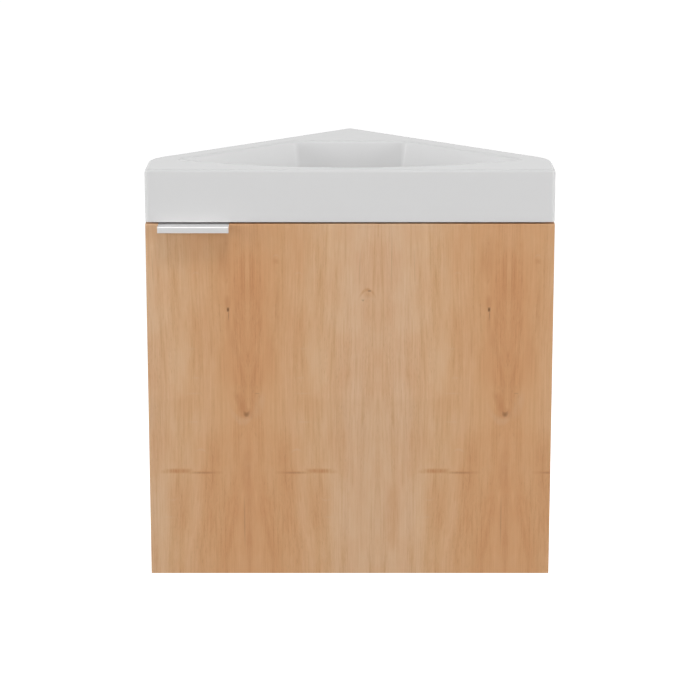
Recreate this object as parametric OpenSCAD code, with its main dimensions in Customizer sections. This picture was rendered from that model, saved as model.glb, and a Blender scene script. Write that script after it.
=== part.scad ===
// Corner vanity unit: a five-sided wall-hung cabinet with one full-overlay
// door, an edge pull and a moulded basin, made for the corner of a room.
// The origin is the line where the two room walls meet, level with the
// underside. +Z is up, the door faces -Y, and the walls run at 45 degrees.

/* [Overall] */
// Width across the door and the basin's front
unit_w = 500; // [480:5:560]
// Depth of the short side returns, from the door's face to the room's wall
return_d = 86.5; // [80:0.5:100]
// Height of the basin's apron
apron_h = 65; // [60:1:75]
// Height of the door
door_h = 447.5; // [430:0.5:520]
// Gap between the top of the door and the apron
reveal = 2; // [1.5:0.5:4]

/* [Carcass] */
// Thickness of the carcass boards
board_t = 16; // [15:1:19]
// Thickness of the door
door_t = 16; // [16:1:19]
// Gap behind the door
door_gap = 3; // [3:0.5:4]
// How far the carcass side stands in from the door's edge
side_inset = 1; // [0.5:0.5:2]
// Height of the rail behind the top of the door
rail_h = 78; // [70:1:90]
// Height of the shelf's underside
shelf_z = 150; // [110:5:170]
// Width of the service cut-out in each wall panel
service_w = 130; // [120:5:150]
// Height of the service cut-out in each wall panel
service_h = 150; // [120:5:160]

/* [Basin] */
// Width of the flat rim along the two walls
rim_w = 27.25; // [24:0.25:34]
// Width of the rim at the middle of the front
front_rim_w = 16; // [14:0.5:24]
// Radius of the bowl's bowed front edge, seen from above
front_arc_r = 430; // [400:10:500]
// Distance from the front to the bowl's straight back edge
bowl_back = 226; // [215:1:235]
// Depth of the bowl at the waste
bowl_depth = 90; // [80:1:95]
// Slope of the bowl's walls from upright
bowl_draft = 12; // [8:1:15]
// Radius where the bowl's walls turn into its floor
bowl_fillet = 28; // [20:1:32]
// Thickness of the bowl and of the deck
shell_t = 8; // [7:0.5:10]

/* [Handle] */
// Length of the edge pull
pull_len = 86.5; // [60:0.5:160]
// Distance of the edge pull from the door's free edge
pull_inset = 16; // [10:1:40]
// How far the edge pull stands out in front of the door
pull_out = 20; // [16:0.5:26]
// Height of the edge pull's lip
pull_lip = 7.5; // [6:0.5:12]

/* [Hinges] */
// Heights of the two hinges
hinge_z = [90, 322];
// Diameter of a hinge cup
cup_d = 35; // [35:1:35]
// Angle to which the door is drawn open
door_angle = 0; // [0:1:95]

/* [Waste] */
// Distance of the waste from the front
waste_y = 134; // [128:1:140]
// Height to which the plug is drawn raised
plug_lift = 0; // [0:0.5:7]

/* [Hidden] */

$fn = 64;
half_w = unit_w / 2;
depth = half_w + return_d;
carcass_h = door_h + reveal;
total_h = carcass_h + apron_h;
door_front = -depth;
door_back = door_front + door_t;
carcass_front = door_back + door_gap;
side_out = half_w - side_inset;
side_in = side_out - board_t;
wall_in = board_t * sqrt(2);          // the wall panel's thickness along Y
play = 0.05;
least_r = 0.6;

oak = [0.78, 0.62, 0.43];
beech = [0.80, 0.66, 0.48];
moulded_white = [0.93, 0.93, 0.93];
satin_aluminium = [0.86, 0.87, 0.88];
nickel = [0.78, 0.78, 0.77];
chrome = [0.85, 0.86, 0.87];
zinc = [0.70, 0.71, 0.72];
black_rubber = [0.12, 0.12, 0.12];
clear_grey = [0.82, 0.84, 0.85];

// ---------------------------------------------------------------- outlines

// Point where two lines meet, each given by its normal's angle and distance
function meet(a, da, b, db) =
    let (det = sin(b - a))
    [(da * sin(b) - db * sin(a)) / det, (db * cos(a) - da * cos(b)) / det];

function arc(c, r, a0, a1, n) =
    [for (i = [0:n]) let (a = a0 + (a1 - a0) * i / n) c + r * [cos(a), sin(a)]];

function mirrored(pts) = [for (i = [len(pts) - 1:-1:0]) [-pts[i][0], pts[i][1]]];

// The basin's outside, drawn in by t: front corners, wall corners and apex
front_corner_r = 5;
wall_corner_r = 55;
apex_r = 7;
front_steps = 5;
wall_steps = 7;
apex_steps = 6;
function corner(a, da, b, db, r, t, n) =
    let (rt = max(r - t, least_r))
    arc(meet(a, da - t - rt, b, db - t - rt), rt, a, b, n);
function apron_ring(t) =
    let (right = concat(
        corner(-90, depth, 0, half_w, front_corner_r, t, front_steps),
        corner(0, half_w, 45, 0, wall_corner_r, t, wall_steps),
        corner(45, 0, 135, 0, apex_r, t, apex_steps)))
    concat(right, [for (i = [apex_steps + 1:len(right) - 1]) mirrored(right)[i]]);

// The bowl's outline, drawn in by t: bowed front, two corners at the ends of
// the front and two at the back. rt and rb are the radii of those corners.
arc_y = -depth + front_rim_w + front_arc_r;
bow_steps = 9;
tip_steps = 6;
back_steps = 5;
function tip_centre(t, r) =
    let (k = sqrt(2) * (-rim_w - t - r) - arc_y, rho = front_arc_r - t - r,
         x = (k + sqrt(2 * rho * rho - k * k)) / 2)
    [x, arc_y + k - x];
function bowl_ring(t, rt, rb) =
    let (c = tip_centre(t, rt), tip_a = atan2(c[1] - arc_y, c[0]),
         back = meet(45, -rim_w - t - rb, 90, bowl_back - depth - t - rb),
         right = concat(
            arc([0, arc_y], front_arc_r - t, -90, tip_a, bow_steps),
            arc(c, rt, tip_a, 45, tip_steps),
            arc(back, rb, 45, 90, back_steps)))
    concat(right, [for (i = [0:len(right) - 2]) mirrored(right)[i]]);

// Skin over rings of equal length, from the lowest to the highest
module skin(rings) {
    n = len(rings[0]);
    m = len(rings);
    polyhedron(
        points = [for (r = rings) for (p = r) p],
        faces = concat(
            [[for (i = [0:n - 1]) i]],
            [for (k = [0:m - 2]) for (i = [0:n - 1]) let (j = (i + 1) % n)
                each [[k * n + i, (k + 1) * n + i, (k + 1) * n + j],
                      [k * n + i, (k + 1) * n + j, k * n + j]]],
            [[for (i = [n - 1:-1:0]) (m - 1) * n + i]]));
}

function at_z(pts, z) = [for (p = pts) [p[0], p[1], z]];

// ------------------------------------------------------------------- basin

rim_round = 4;
edge_round = 3.5;
edge_steps = 4;
foot_round = [1.5, 0.4];
apron_wall = 12;
deck_t = 10;
floor_slope = 4;
drain = [0, -depth + waste_y];
drain_ring_r = 37;
floor_drop = 4;
tip_r = [9, 6];
back_r = [16, 8];
corner_ease = 10;
corner_gain = 0.4;
wall_end = bowl_depth - floor_drop
    - bowl_fillet * (cos(floor_slope) - sin(bowl_draft));
wall_end_t = rim_round + (wall_end - rim_round) * tan(bowl_draft);

// Corner radii of the bowl at inset t
function ease(a, b, s) = a + (b - a) * min(max(s, 0), 1);
function radius_at(r, t) = t < wall_end_t ? ease(r[0], r[1], t / corner_ease)
    : r[1] + (t - wall_end_t) * corner_gain;
function tip_at(t) = radius_at(tip_r, t);
function back_at(t) = radius_at(back_r, t);

// [inset, depth] down the inside, offset outwards by s
function fillet_point(a, s) = [
    wall_end_t + bowl_fillet * cos(bowl_draft) - (bowl_fillet + s) * cos(a),
    wall_end - bowl_fillet * sin(bowl_draft) + (bowl_fillet + s) * sin(a)];
fillet_steps = 7;
rim_angles = [22, 44, 66, 88];
function fillet_run(s) = [for (i = [0:fillet_steps])
    fillet_point(bowl_draft + (90 - floor_slope - bowl_draft) * i / fillet_steps, s)];
inside_run = concat(
    [[-rim_round, -rim_round - 1], [0, 0]],
    [for (a = rim_angles) [rim_round * sin(a), rim_round * (1 - cos(a))]],
    fillet_run(0));
outside_run = concat([[rim_round - shell_t, rim_round]], fillet_run(shell_t));

function ring_at(p, s) = at_z(
    bowl_ring(p[0], tip_at(p[0] + s) + s, back_at(p[0] + s) + s),
    total_h - p[1]);
function drain_ring(s) = [for (p = ring_at(inside_run[len(inside_run) - 1], 0))
    let (d = [p[0], p[1]] - drain, q = drain + drain_ring_r * d / norm(d))
    [q[0], q[1], total_h - bowl_depth - s]];

module bowl_inside() {
    skin(concat([drain_ring(0)],
        [for (i = [len(inside_run) - 1:-1:0]) ring_at(inside_run[i], 0)]));
}

module bowl_outside() {
    skin(concat([drain_ring(shell_t)],
        [for (i = [len(outside_run) - 1:-1:0]) ring_at(outside_run[i], shell_t)]));
}

module apron() {
    skin(concat(
        [at_z(apron_ring(foot_round[0]), carcass_h),
         at_z(apron_ring(foot_round[1]), carcass_h + foot_round[1]),
         at_z(apron_ring(0), carcass_h + foot_round[0])],
        [for (i = [0:edge_steps]) let (a = 90 * i / edge_steps)
            at_z(apron_ring(edge_round * (1 - cos(a))),
                total_h - edge_round * (1 - sin(a)))]));
}

waste_hole_r = 23;
flange_seat_r = 33.5;
flange_seat = 2.5;
pad_r = 33;
pad_t = 3;
floor_z = total_h - bowl_depth;
pad_z = floor_z - shell_t - pad_t;

module basin() color(moulded_white) {
    difference() {
        union() {
            difference() {
                apron();
                translate([0, 0, carcass_h - 1])
                    linear_extrude(apron_h - deck_t + 1) polygon(apron_ring(apron_wall));
            }
            bowl_outside();
            translate([drain[0], drain[1], pad_z])
                cylinder(r = pad_r, h = floor_z - pad_z - 1);
        }
        bowl_inside();
        translate([drain[0], drain[1], pad_z - 1])
            cylinder(r = waste_hole_r, h = bowl_depth);
        translate([drain[0], drain[1], floor_z - flange_seat])
            cylinder(r = flange_seat_r, h = bowl_depth / 2);
    }
}

// ------------------------------------------------------------------- waste

seat_z = floor_z - flange_seat;
top_seal_t = 1.5;
top_seal_r = [22, 31];
flange_r = 32.5;
flange_t = 2.5;
body_r = 20.955;                      // 1 1/4 inch pipe thread
body_top = seat_z - 2;
body_len = 88;
socket_r = 17.6;
socket_len = 40;
outlet_r = 16.5;
spigot_len = 26;
spigot_r = [15.5, 17.5];
dish_r = [19, 24];
guide_angles = [30, 150, 270];
guide_arm = [2.5, 5];
guide_drop = 24;
guide_r = 6.5;
guide_h = 9;
stem_r = 4;
stem_len = 34;
bottom_seal_t = 4;
nut_h = 9;
nut_af = 54;
collar_r = 29;

module at_drain() translate([drain[0], drain[1], 0]) children();

module waste_top_seal() color(black_rubber)
    at_drain() translate([0, 0, seat_z]) rotate_extrude()
        translate([top_seal_r[0], 0]) square([top_seal_r[1] - top_seal_r[0], top_seal_t]);

// Dished flange on a spigot, with a guide for the plug's stem on three arms
module waste_flange() color(chrome)
    at_drain() translate([0, 0, seat_z + top_seal_t]) difference() {
        union() {
            rotate_extrude()
                polygon([[spigot_r[0], -spigot_len], [spigot_r[1], -spigot_len],
                    [spigot_r[1], -1], [spigot_r[1] + 1, 0], [flange_r, 0], [flange_r, 1],
                    [flange_r - 1.5, flange_t], [dish_r[1], flange_t], [dish_r[0], 1.3],
                    [spigot_r[0], -1.5]]);
            for (a = guide_angles) rotate(a)
                translate([guide_r / 2, -guide_arm[0] / 2, -guide_drop + 2])
                    cube([spigot_r[0] + 1 - guide_r / 2, guide_arm[0], guide_arm[1]]);
            translate([0, 0, -guide_drop]) cylinder(r = guide_r, h = guide_h);
        }
        translate([0, 0, -guide_drop - 1]) cylinder(r = stem_r + play, h = guide_h + 2);
    }

// Domed plug on a stem, with a boss that enters the flange
plug_r = 28.5;
plug_edge = 1;
plug_dome = 4.5;
plug_gap = 0.2;
boss_r = 14.5;
boss_drop = 4;
module waste_plug() color(chrome)
    at_drain() translate([0, 0, seat_z + top_seal_t + flange_t + plug_gap + plug_lift])
        rotate_extrude() polygon(concat(
            [[0, -stem_len], [stem_r - 1, -stem_len], [stem_r, -stem_len + 1],
             [stem_r, -boss_drop], [boss_r - 1.5, -boss_drop], [boss_r, -boss_drop + 1],
             [boss_r, 0], [plug_r - 1.5, 0], [plug_r, plug_edge]],
            arc([0, 0], 1, 0, 90, 8) * [[plug_r, 0], [0, plug_dome]]
                + [for (i = [0:8]) [0, plug_edge]]));

module waste_body() color(nickel)
    at_drain() rotate_extrude()
        polygon([[socket_r, body_top], [body_r, body_top],
            [body_r, body_top - body_len + 1], [body_r - 1, body_top - body_len],
            [outlet_r, body_top - body_len], [outlet_r, body_top - socket_len],
            [socket_r, body_top - socket_len]]);

module waste_bottom_seal() color(black_rubber)
    at_drain() rotate_extrude()
        polygon([[body_r + play, pad_z - bottom_seal_t], [collar_r, pad_z - bottom_seal_t],
            [collar_r + 2, pad_z], [body_r + play, pad_z]]);

module waste_nut() color(nickel)
    at_drain() translate([0, 0, pad_z - bottom_seal_t - nut_h]) difference() {
        union() {
            cylinder(d = nut_af / cos(30), h = nut_h, $fn = 6);
            translate([0, 0, nut_h - 2]) cylinder(r = collar_r, h = 2);
        }
        translate([0, 0, -1]) cylinder(r = body_r + play, h = nut_h + 2);
    }

// ----------------------------------------------------------------- carcass

// Flat-headed joining screw, head at the origin, running along +X
screw_r = 2.5;
head_r = 5;
head_t = [0.6, 3.1];
point_r = 0.8;
screw_len = 48;
module joining_screw(length) rotate([0, 90, 0]) rotate_extrude()
    polygon([[0, 0], [head_r, 0], [head_r, head_t[0]], [screw_r, head_t[1]],
        [screw_r, length - 2], [point_r, length], [0, length]]);
module joining_hole(length) rotate([0, 90, 0]) rotate_extrude()
    polygon([[0, -1], [head_r + 2 * play, -1], [head_r + 2 * play, head_t[0] + play],
        [screw_r + play, head_t[1] + play], [screw_r + play, length + play],
        [0, length + play]]);

// Frame of the right room wall: u runs out from the room's corner, v into
// the room
module on_right_wall(u, z) rotate(-45) translate([u, 0, z]) rotate(-90) children();
module both_sides() { children(); mirror([1, 0, 0]) children(); }

bottom_screw_u = [95, 255];
apex_screw_z = [60, 225, 400];
apex_screw_u = 9.5;
apex_bevel = 4;
side_screw_y = [carcass_front + 17, carcass_front + 43];
rail_screw_z = [carcass_h - 14, carcass_h - rail_h + 14];
dowel_z = [45, 225, carcass_h - 40];
dowel_r = 3;
dowel_len = 15;
dowel_inset = 11;
rail_y = carcass_front + board_t / 2;

// Screws, or the holes for them, on the right of the carcass
module side_fixings(hole) for (p = concat(
        [for (y = side_screw_y) [y, board_t / 2]],
        [for (z = rail_screw_z) [rail_y, z]]))
    translate([side_out, p[0], p[1]]) rotate(180)
        if (hole) joining_hole(screw_len); else joining_screw(screw_len);

module wall_fixings(hole) for (u = bottom_screw_u)
    on_right_wall(u, board_t / 2)
        if (hole) joining_hole(screw_len); else joining_screw(screw_len);

module apex_fixings(hole) for (z = apex_screw_z)
    on_right_wall(apex_screw_u, z)
        if (hole) joining_hole(screw_len); else joining_screw(screw_len);

// Glued dowels across the joint between a side panel and a wall panel
module dowels(gap) for (z = dowel_z)
    translate([side_in - dowel_len / 2 - gap, -side_in - dowel_inset, z]) rotate([0, 90, 0])
        cylinder(r = dowel_r + gap, h = dowel_len + 2 * gap);
module corner_dowels() color(beech) both_sides() dowels(0);

module carcass_screws() color(zinc) {
    both_sides() {
        side_fixings(false);
        wall_fixings(false);
    }
    apex_fixings(false);
}

pin_r = 2.5;
side_pin_y = carcass_front + 40;
wall_pin_u = 110;
pin_hole = 9;
pin_in = 8.5;
pin_out = 8;
pin_collar = [4, 0.8];

// The side panel's back edge is cut off where it meets the wall
nose = [11, 7.8];
module side_panel() difference() {
    linear_extrude(carcass_h)
        polygon([[side_in, carcass_front], [side_out, carcass_front],
            [side_out, -side_out - nose[0]], [side_out - nose[1], -side_out + nose[1]],
            [side_in, -side_in]]);
    side_fixings(true);
    translate([side_in - 1, side_pin_y, shelf_z - pin_r]) rotate([0, 90, 0])
        cylinder(r = pin_r + play, h = pin_hole + 1);
    dowels(play);
    for (z = hinge_z) plate_screw_holes(z);
}

module right_side_panel() color(oak) side_panel();
module left_side_panel() color(oak) mirror([1, 0, 0]) side_panel();

service_u = 175;
service_z = 205;
service_r = 25;
wall_len = side_in * sqrt(2);
fixing_u = [80, 285];
fixing_z = carcass_h - 62;
fixing_r = 4;

module service_cutout() for (dy = [service_r, service_h - service_r])
    for (dx = [service_r, service_w - service_r])
        translate([dx, dy]) circle(r = service_r);

// Wall panel in its own plane, from u = start; the far end is cut parallel to
// the side panel that it meets
module wall_panel(start, bevel) difference() {
    rotate(-45) linear_extrude(carcass_h)
        polygon(concat(
            bevel > 0 ? [[start, -bevel], [start + bevel, 0]] : [[start, 0]],
            [[wall_len, 0], [wall_len + board_t, -board_t], [start, -board_t]]));
    rotate(-45) translate([service_u - service_w / 2, 1, service_z]) rotate([90, 0, 0])
        linear_extrude(board_t + 2) {
            service_cutout();
            translate([service_r, 0]) square([service_w - 2 * service_r, service_h]);
            translate([0, service_r]) square([service_w, service_h - 2 * service_r]);
        }
    rotate(-45) for (u = fixing_u) translate([u, 1, fixing_z]) rotate([90, 0, 0])
        cylinder(r = fixing_r, h = board_t + 2);
    rotate(-45) translate([wall_pin_u, -board_t + pin_hole, shelf_z - pin_r])
        rotate([90, 0, 0]) cylinder(r = pin_r + play, h = pin_hole + 1);
    wall_fixings(true);
    dowels(play);
}

module right_wall_panel() color(oak) difference() {
    wall_panel(0, apex_bevel);
    apex_fixings(true);
}
module left_wall_panel() color(oak) difference() {
    mirror([1, 0, 0]) wall_panel(board_t, 0);
    apex_fixings(true);
}

module inside_plan(gap, front) polygon([
    [-side_in + gap, front], [side_in - gap, front],
    [side_in - gap, -side_in - wall_in - tan(22.5) * gap], [0, -wall_in - sqrt(2) * gap],
    [-side_in + gap, -side_in - wall_in - tan(22.5) * gap]]);

module bottom_panel() color(oak) difference() {
    linear_extrude(board_t) inside_plan(0, carcass_front);
    both_sides() {
        side_fixings(true);
        wall_fixings(true);
    }
}

// The rail is scooped out under the bowl
scoop_h = 36;
scoop_half = 165;
scoop_r = 30;
module front_top_rail() color(oak) difference() {
    translate([0, carcass_front + board_t, carcass_h - rail_h]) rotate([90, 0, 0])
        linear_extrude(board_t) difference() {
            translate([-side_in, 0]) square([2 * side_in, rail_h]);
            translate([-scoop_half, rail_h - scoop_h + scoop_r])
                square([2 * scoop_half, scoop_h]);
            translate([-scoop_half + scoop_r, rail_h - scoop_h])
                square([2 * (scoop_half - scoop_r), scoop_h]);
            for (s = [-1, 1]) translate([s * (scoop_half - scoop_r), rail_h - scoop_h + scoop_r])
                circle(r = scoop_r);
        }
    both_sides() side_fixings(true);
}

shelf_setback = 22;
module shelf() color(oak)
    translate([0, 0, shelf_z]) linear_extrude(board_t)
        inside_plan(1, carcass_front + shelf_setback);

// Shelf pin: a peg in the panel, a collar against it and a rest for the shelf
module shelf_pin() rotate([0, 90, 0]) rotate_extrude()
    polygon([[0, -pin_in], [pin_r, -pin_in], [pin_r, 0], [pin_collar[0], 0], pin_collar,
        [pin_r, pin_collar[1]], [pin_r, pin_out], [0, pin_out]]);
module shelf_pins() color(zinc) both_sides() {
    translate([side_in, side_pin_y, shelf_z - pin_r]) rotate(180) shelf_pin();
    rotate(-45) translate([wall_pin_u, -board_t, shelf_z - pin_r]) rotate(-90) shelf_pin();
}

// -------------------------------------------------------------------- door

// The hinge side of the door: edge_x runs in from the door's right edge and
// face_y back from its front
module at_hinge(z) translate([half_w, door_front, z]) children();

cup_edge = 3;
cup_r = cup_d / 2;
cup_x = -cup_edge - cup_r;
cup_depth = 12;
cup_wall = 0.8;
knuckle = [-7, 7.8];
knuckle_r = 2.3;
knuckle_w = 9;
hinge_pin_r = 1.25;
cup_screw = [cup_x - 9.5, 22.5];

module swing() translate([half_w + knuckle[0], door_front + knuckle[1], 0])
    rotate(door_angle)
        translate([-half_w - knuckle[0], -door_front - knuckle[1], 0]) children();

door_edge = 0.8;
pilot_r = 1.5;
pilot_len = 12;
pull_x = -half_w + pull_inset;
pull_t = 1.5;
pull_leg = 24;
pull_screw_x = [pull_x + 15, pull_x + pull_len - 15];
pull_screw_z = door_h - 15;
pull_head_r = 3;
pull_bend = 1.2;
pull_bend_steps = 4;

module door_panel() color(oak) swing() difference() {
    translate([-half_w, 0, 0]) rotate([90, 0, 90]) linear_extrude(unit_w)
        polygon([[door_front, door_edge], [door_front + door_edge, 0],
            [door_back - door_edge, 0], [door_back, door_edge],
            [door_back, door_h - door_edge], [door_back - door_edge, door_h],
            [door_front + door_edge, door_h], [door_front, door_h - door_edge]]);
    for (z = hinge_z) at_hinge(z) {
        translate([cup_x, door_t - cup_depth - play, 0]) rotate([-90, 0, 0])
            cylinder(r = cup_r + play, h = cup_depth + 1);
        for (s = [-1, 1]) translate([cup_screw[0], door_t - pilot_len, s * cup_screw[1]])
            rotate([-90, 0, 0]) cylinder(r = pilot_r, h = pilot_len + 1);
    }
    // Rebate that takes the edge pull's plate
    translate([pull_x - play, door_front - 1, door_h - pull_t])
        cube([pull_len + 2 * play, door_t + 2, pull_t + 1]);
    for (x = pull_screw_x) translate([x, door_back - pilot_len, pull_screw_z])
        rotate([-90, 0, 0]) cylinder(r = pilot_r, h = pilot_len + 1);
}

module pull_screw() rotate([-90, 0, 0]) rotate_extrude()
    polygon([[0, 0.5 - pilot_len], [pilot_r - play, 1 - pilot_len], [pilot_r - play, -play],
        [pull_head_r, pull_t], [0, pull_t]]);

// Bent profile: a leg on the door's back, a plate over its top edge and a lip
module handle() color(satin_aluminium) swing() difference() {
    lip = door_front - pull_out;
    translate([pull_x, 0, door_h]) rotate([90, 0, 90]) linear_extrude(pull_len)
        polygon(concat(
            [[door_back, -pull_leg], [door_back + pull_t, -pull_leg]],
            arc([door_back + pull_t - pull_bend, -pull_bend], pull_bend, 0, 90, pull_bend_steps),
            arc([lip + pull_bend, -pull_bend], pull_bend, 90, 180, pull_bend_steps),
            [[lip, -pull_lip], [lip + pull_t, -pull_lip], [lip + pull_t, -pull_t],
             [door_back, -pull_t]]));
    for (x = pull_screw_x) translate([x, door_back, pull_screw_z])
        rotate([-90, 0, 0]) rotate_extrude()
            polygon([[0, -1], [pilot_r, -1], [pilot_r, 0], [pull_head_r + play, pull_t],
                [pull_head_r + play, pull_t + 1], [0, pull_t + 1]]);
}

module handle_screws() color(zinc) swing()
    for (x = pull_screw_x) translate([x, door_back, pull_screw_z]) pull_screw();

bumper_t = 2.6;
bumper_r = 4.5;
bumper_z = [22, door_h - 46];
module door_bumpers() color(clear_grey) swing()
    for (z = bumper_z) translate([-side_out + board_t / 2, door_back, z])
        rotate([-90, 0, 0]) rotate_extrude()
            polygon([[0, 0], [bumper_r, 0], [bumper_r, 0.6], [bumper_r * 0.8, bumper_t - 0.5],
                [bumper_r - 1.9, bumper_t], [0, bumper_t]]);

// ------------------------------------------------------------------ hinges

cheek_in = 6.5;
cheek_out = 9.2;
cheek = [3.4, 6.6];
cheek_rise = 3.2;
ear_r = 5.5;
ear_t = 1;
ear_w = 16;
plate_hole_r = 1.75;

// Pressed cup with its flange and the two cheeks that hold the pin
module hinge_cups() color(nickel) swing() for (z = hinge_z) at_hinge(z) difference() {
    union() {
        difference() {
            union() {
                translate([cup_x, door_t - cup_depth, 0]) rotate([-90, 0, 0])
                    cylinder(r = cup_r, h = cup_depth);
                translate([cup_x, door_t, 0]) rotate([-90, 0, 0])
                    cylinder(r = cup_r + 1.2, h = ear_t);
                for (s = [-1, 1]) translate([cup_screw[0], door_t, s * cup_screw[1]])
                    rotate([-90, 0, 0]) cylinder(r = ear_r, h = ear_t);
                translate([cup_screw[0] - ear_r, door_t, -cup_screw[1]])
                    cube([ear_w, ear_t, 2 * cup_screw[1]]);
            }
            translate([cup_x, door_t - cup_depth + cup_wall, 0]) rotate([-90, 0, 0])
                cylinder(r = cup_r - cup_wall, h = cup_depth + 2);
        }
        intersection() {
            translate([cup_x, door_t - cup_depth + cup_wall / 2, 0]) rotate([-90, 0, 0])
                cylinder(r = cup_r - cup_wall / 2, h = cup_depth);
            for (s = [0, 1]) mirror([0, 0, s])
                translate([knuckle[0] - cheek[0], door_t - cup_depth, cheek_in])
                    cube([cheek[0] + cheek[1], knuckle[1] + cheek_rise - door_t + cup_depth,
                        cheek_out - cheek_in]);
        }
    }
    translate([knuckle[0], knuckle[1], -cheek_out]) cylinder(r = hinge_pin_r, h = 2 * cheek_out);
    for (s = [-1, 1]) translate([cup_screw[0], door_t - 1, s * cup_screw[1]])
        rotate([-90, 0, 0]) cylinder(r = plate_hole_r, h = ear_t + 2);
}

pan_t = [0.9, 1.7, 1.9];
module pan_screw(length, r, head) rotate_extrude()
    polygon([[0, -length], [r, -length + 1], [r, 0], [head, 0], [head, pan_t[0]],
        [head * 0.7, pan_t[1]], [0, pan_t[2]]]);

module hinge_cup_screws() color(zinc) swing() for (z = hinge_z, s = [-1, 1]) at_hinge(z)
    translate([cup_screw[0], door_t + ear_t, s * cup_screw[1]]) rotate([-90, 0, 0])
        pan_screw(pilot_len, pilot_r - play, 3.2);

module hinge_pins() color(zinc) swing() for (z = hinge_z) at_hinge(z)
    translate([knuckle[0], knuckle[1], -cheek_out + 2 * play])
        cylinder(r = hinge_pin_r, h = 2 * cheek_out - 4 * play);

// A strip of even thickness along a chain of points, mitred at each bend
function heading(pts, i) =
    let (d = pts[i + 1] - pts[i]) atan2(d[1], d[0]);
function strip_edge(pts, t) = [for (i = [0:len(pts) - 1])
    let (a = heading(pts, max(i - 1, 0)), b = heading(pts, min(i, len(pts) - 2)))
    pts[i] + t / 2 / cos((b - a) / 2) * [-sin((a + b) / 2), cos((a + b) / 2)]];
module strip(pts, t) {
    near = strip_edge(pts, -t);
    polygon(concat(strip_edge(pts, t), [for (i = [len(pts) - 1:-1:0]) near[i]]));
}

arm_t = 2.2;
arm_w = 12;
neck_x = -side_inset - board_t - 0.4 - arm_t / 2;
neck_y = [11.4, 21.5];
cup_bend = [[-15.2, 6.9], [-17.9, 8.6]];
web_x = -side_inset - board_t - 7.4;
web_y = [30, 78];
web_w = 18;
web_side = [6.4, 1.6];
arm_hole_r = 2.2;
arm_screw_r = 1.9;
plate_screw = 16;
plate_lobe_r = 7;
block_len = 44;
plate_t = 2;
block_x = web_x + arm_t / 2;
panel_x = -side_inset - board_t;
plate_y = door_t + door_gap + 37;
fix_y = plate_y + 9;
adjust_y = plate_y - 17;

// Gooseneck arm: eye in the cup, neck round the door's rim, channel on the plate
module hinge_arms() color(nickel) for (z = hinge_z) at_hinge(z) {
    difference() {
        union() {
            translate([knuckle[0], knuckle[1], -knuckle_w / 2])
                cylinder(r = knuckle_r, h = knuckle_w);
            translate([0, 0, -arm_w / 2]) linear_extrude(arm_w)
                strip(concat([[knuckle[0], knuckle[1] - knuckle_r + arm_t / 2]], cup_bend,
                    [[neck_x, neck_y[0]], [neck_x, neck_y[1]], [web_x, web_y[0]],
                     [web_x, web_y[0] + 2 * plate_t]]), arm_t);
            translate([web_x - arm_t / 2, web_y[0], -web_w / 2])
                cube([arm_t, web_y[1] - web_y[0], web_w]);
            for (s = [0, 1]) mirror([0, 0, s])
                translate([web_x - arm_t / 2, web_y[0], web_w / 2 - web_side[1]])
                    cube([web_side[0], web_y[1] - web_y[0], web_side[1]]);
        }
        translate([knuckle[0], knuckle[1], -arm_w / 2 - 1])
            cylinder(r = hinge_pin_r + play, h = arm_w + 2);
        for (y = [fix_y, adjust_y]) translate([web_x - arm_t, y, 0]) rotate([0, 90, 0])
            cylinder(r = arm_hole_r, h = 2 * arm_t);
    }
}

module plate_screw_holes(z) at_hinge(z) for (s = [-1, 1])
    translate([panel_x - 1, plate_y, s * plate_screw]) rotate([0, 90, 0])
        cylinder(r = plate_hole_r, h = pilot_len);

// Mounting plate: cross-shaped base on the side panel, with a raised block
module hinge_plates() color(nickel) for (z = hinge_z) at_hinge(z) difference() {
    union() {
        translate([panel_x - plate_t, plate_y - plate_lobe_r, -plate_screw])
            cube([plate_t, 2 * plate_lobe_r, 2 * plate_screw]);
        for (s = [-1, 1]) translate([panel_x - plate_t, plate_y, s * plate_screw])
            rotate([0, 90, 0]) cylinder(r = plate_lobe_r, h = plate_t);
        translate([block_x, web_y[0] + 2, -plate_lobe_r])
            cube([panel_x - block_x, block_len, 2 * plate_lobe_r]);
    }
    for (s = [-1, 1]) translate([panel_x - plate_t - 1, plate_y, s * plate_screw])
        rotate([0, 90, 0]) cylinder(r = 1.9, h = plate_t + 2);
    for (y = [fix_y, adjust_y]) translate([block_x - 1, y, 0]) rotate([0, 90, 0])
        cylinder(r = arm_screw_r + play, h = 6);
}

module hinge_plate_screws() color(zinc) for (z = hinge_z, s = [-1, 1]) at_hinge(z)
    translate([panel_x - plate_t, plate_y, s * plate_screw]) rotate([0, -90, 0])
        pan_screw(11, plate_hole_r - play, 3.6);

module hinge_arm_screws() color(zinc) for (z = hinge_z, y = [fix_y, adjust_y]) at_hinge(z)
    translate([web_x - arm_t / 2, y, 0]) rotate([0, -90, 0]) pan_screw(6.5, arm_screw_r, 3.6);

basin();
waste_flange();
waste_plug();
waste_body();
waste_nut();
waste_top_seal();
waste_bottom_seal();
left_side_panel();
right_side_panel();
left_wall_panel();
right_wall_panel();
bottom_panel();
front_top_rail();
shelf();
shelf_pins();
carcass_screws();
corner_dowels();
door_panel();
handle();
handle_screws();
door_bumpers();
hinge_cups();
hinge_cup_screws();
hinge_pins();
hinge_arms();
hinge_plates();
hinge_plate_screws();
hinge_arm_screws();
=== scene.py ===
from math import atan2, cos, hypot, pi, radians, sin, sqrt, tan

import bmesh
import bpy
from mathutils import Matrix, Vector


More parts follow.
